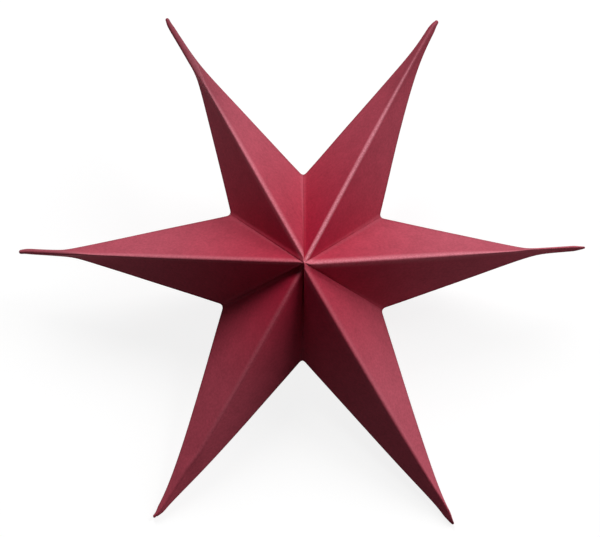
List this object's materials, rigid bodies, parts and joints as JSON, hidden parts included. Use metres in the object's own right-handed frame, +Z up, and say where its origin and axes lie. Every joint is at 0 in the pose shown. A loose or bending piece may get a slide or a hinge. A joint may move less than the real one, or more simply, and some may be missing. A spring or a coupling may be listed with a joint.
{
  "type": "folded paper star",
  "caption": "Hollow folded paper star: long pointed card arms with pinched tips, glued side to side along their valleys and meeting at a raised pole, front and back.",
  "frame": {"origin": "the back pole, where the star's back touches the surface that it lies on", "axes": "+X to the right across the left and right points, +Y towards the upper points, +Z up; the star's front looks up and leans 16 degrees from +Z towards -Y"},
  "size_m": [0.1987, 0.1717, 0.0518],
  "materials": {
    "card": "matte"
  },
  "bodies": {
    "root": {"point_right": "card", "point_upper_right": "card", "point_upper_left": "card", "point_left": "card", "point_lower_left": "card", "point_lower_right": "card"}
  },
  "joints": []
}
